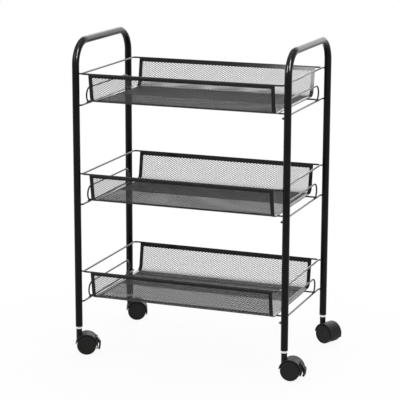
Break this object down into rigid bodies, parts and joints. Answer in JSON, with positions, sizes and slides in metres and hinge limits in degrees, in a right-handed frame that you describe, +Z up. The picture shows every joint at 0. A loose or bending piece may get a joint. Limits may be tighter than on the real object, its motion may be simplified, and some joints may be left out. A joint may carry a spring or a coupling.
{
  "type": "rolling utility cart",
  "caption": "Rolling storage cart: mesh baskets on wire frames between tube posts with arched handles, on swivel casters with brake levers.",
  "frame": {"origin": "middle of the cart's bounding box, on the floor, with the casters turned as stored", "axes": "+X along the cart to its right end, +Y from its front to its back, +Z up"},
  "size_m": [0.4813, 0.2999, 0.625],
  "materials": {
    "black_tube": "gloss black powder coat on steel tube",
    "black_wire": "black powder coat on steel wire",
    "black_mesh": "black powder coat on expanded steel mesh",
    "black_strip": "black powder coat on folded sheet steel",
    "hood_plastic": "satin dark grey moulded nylon",
    "wheel_plastic": "charcoal moulded nylon",
    "socket_plastic": "black moulded plastic",
    "bright_zinc": "bright zinc plated steel"
  },
  "bodies": {
    "frame": {"handle_left": "black_tube", "handle_right": "black_tube", "post_front_left": "black_tube", "post_front_right": "black_tube", "post_rear_left": "black_tube", "post_rear_right": "black_tube", "front_left_socket": "socket_plastic", "front_left_stem": "bright_zinc", "front_right_socket": "socket_plastic", "front_right_stem": "bright_zinc", "rear_left_socket": "socket_plastic", "rear_left_stem": "bright_zinc", "rear_right_socket": "socket_plastic", "rear_right_stem": "bright_zinc", "top_rim": "black_wire", "top_lower_frame": "black_wire", "top_floor_mesh": "black_mesh", "middle_rim": "black_wire", "middle_lower_frame": "black_wire", "middle_floor_mesh": "black_mesh", "bottom_rim": "black_wire", "bottom_lower_frame": "black_wire", "bottom_floor_mesh": "black_mesh", "top_front_mesh": "black_mesh", "top_front_strip": "black_strip", "top_rear_mesh": "black_mesh", "top_rear_strip": "black_strip", "middle_front_mesh": "black_mesh", "middle_front_strip": "black_strip", "middle_rear_mesh": "black_mesh", "middle_rear_strip": "black_strip", "bottom_front_mesh": "black_mesh", "bottom_front_strip": "black_strip", "bottom_rear_mesh": "black_mesh", "bottom_rear_strip": "black_strip", "top_left_strip": "black_strip", "top_right_strip": "black_strip", "middle_left_strip": "black_strip", "middle_right_strip": "black_strip", "bottom_left_strip": "black_strip", "bottom_right_strip": "black_strip"},
    "front_left_caster": {"front_left_hood": "hood_plastic", "front_left_axle": "bright_zinc"},
    "front_left_wheel_a": {"front_left_wheel_a": "wheel_plastic"},
    "front_left_wheel_b": {"front_left_wheel_b": "wheel_plastic"},
    "front_left_lever": {"front_left_brake_lever": "hood_plastic"},
    "front_right_caster": {"front_right_hood": "hood_plastic", "front_right_axle": "bright_zinc"},
    "front_right_wheel_a": {"front_right_wheel_a": "wheel_plastic"},
    "front_right_wheel_b": {"front_right_wheel_b": "wheel_plastic"},
    "front_right_lever": {"front_right_brake_lever": "hood_plastic"},
    "rear_left_caster": {"rear_left_hood": "hood_plastic", "rear_left_axle": "bright_zinc"},
    "rear_left_wheel_a": {"rear_left_wheel_a": "wheel_plastic"},
    "rear_left_wheel_b": {"rear_left_wheel_b": "wheel_plastic"},
    "rear_right_caster": {"rear_right_hood": "hood_plastic", "rear_right_axle": "bright_zinc"},
    "rear_right_wheel_a": {"rear_right_wheel_a": "wheel_plastic"},
    "rear_right_wheel_b": {"rear_right_wheel_b": "wheel_plastic"}
  },
  "joints": [
    {"name": "front_left_swivel", "type": "hinge", "parent": "frame", "child": "front_left_caster", "pos_m": [-0.22779, -0.13237, 0.03729], "axis": [0, 0, 1], "continuous": true},
    {"name": "front_left_wheel_a_roll", "type": "hinge", "parent": "front_left_caster", "child": "front_left_wheel_a", "pos_m": [-0.21389, -0.12675, 0.019], "axis": [-0.3746, 0.9272, 0], "continuous": true},
    {"name": "front_left_wheel_b_roll", "type": "hinge", "parent": "front_left_caster", "child": "front_left_wheel_b", "pos_m": [-0.21389, -0.12675, 0.019], "axis": [-0.3746, 0.9272, 0], "continuous": true},
    {"name": "front_left_brake", "type": "hinge", "parent": "front_left_caster", "child": "front_left_lever", "pos_m": [-0.19651, -0.11973, 0.03164], "axis": [-0.3746, 0.9272, 0], "range_deg": [0, 8]},
    {"name": "front_right_swivel", "type": "hinge", "parent": "frame", "child": "front_right_caster", "pos_m": [0.19821, -0.13237, 0.03729], "axis": [0, 0, 1], "continuous": true},
    {"name": "front_right_wheel_a_roll", "type": "hinge", "parent": "front_right_caster", "child": "front_right_wheel_a", "pos_m": [0.21319, -0.13158, 0.019], "axis": [-0.0523, 0.9986, 0], "continuous": true},
    {"name": "front_right_wheel_b_roll", "type": "hinge", "parent": "front_right_caster", "child": "front_right_wheel_b", "pos_m": [0.21319, -0.13158, 0.019], "axis": [-0.0523, 0.9986, 0], "continuous": true},
    {"name": "front_right_brake", "type": "hinge", "parent": "front_right_caster", "child": "front_right_lever", "pos_m": [0.23189, -0.1306, 0.03164], "axis": [-0.0523, 0.9986, 0], "range_deg": [0, 8]},
    {"name": "rear_left_swivel", "type": "hinge", "parent": "frame", "child": "rear_left_caster", "pos_m": [-0.22779, 0.12064, 0.03729], "axis": [0, 0, 1], "continuous": true},
    {"name": "rear_left_wheel_a_roll", "type": "hinge", "parent": "rear_left_caster", "child": "rear_left_wheel_a", "pos_m": [-0.21399, 0.1265, 0.019], "axis": [-0.3907, 0.9205, 0], "continuous": true},
    {"name": "rear_left_wheel_b_roll", "type": "hinge", "parent": "rear_left_caster", "child": "rear_left_wheel_b", "pos_m": [-0.21399, 0.1265, 0.019], "axis": [-0.3907, 0.9205, 0], "continuous": true},
    {"name": "rear_right_swivel", "type": "hinge", "parent": "frame", "child": "rear_right_caster", "pos_m": [0.19821, 0.12064, 0.03729], "axis": [0, 0, 1], "continuous": true},
    {"name": "rear_right_wheel_a_roll", "type": "hinge", "parent": "rear_right_caster", "child": "rear_right_wheel_a", "pos_m": [0.21191, 0.11453, 0.019], "axis": [0.4067, 0.9135, 0], "continuous": true},
    {"name": "rear_right_wheel_b_roll", "type": "hinge", "parent": "rear_right_caster", "child": "rear_right_wheel_b", "pos_m": [0.21191, 0.11453, 0.019], "axis": [0.4067, 0.9135, 0], "continuous": true}
  ]
}
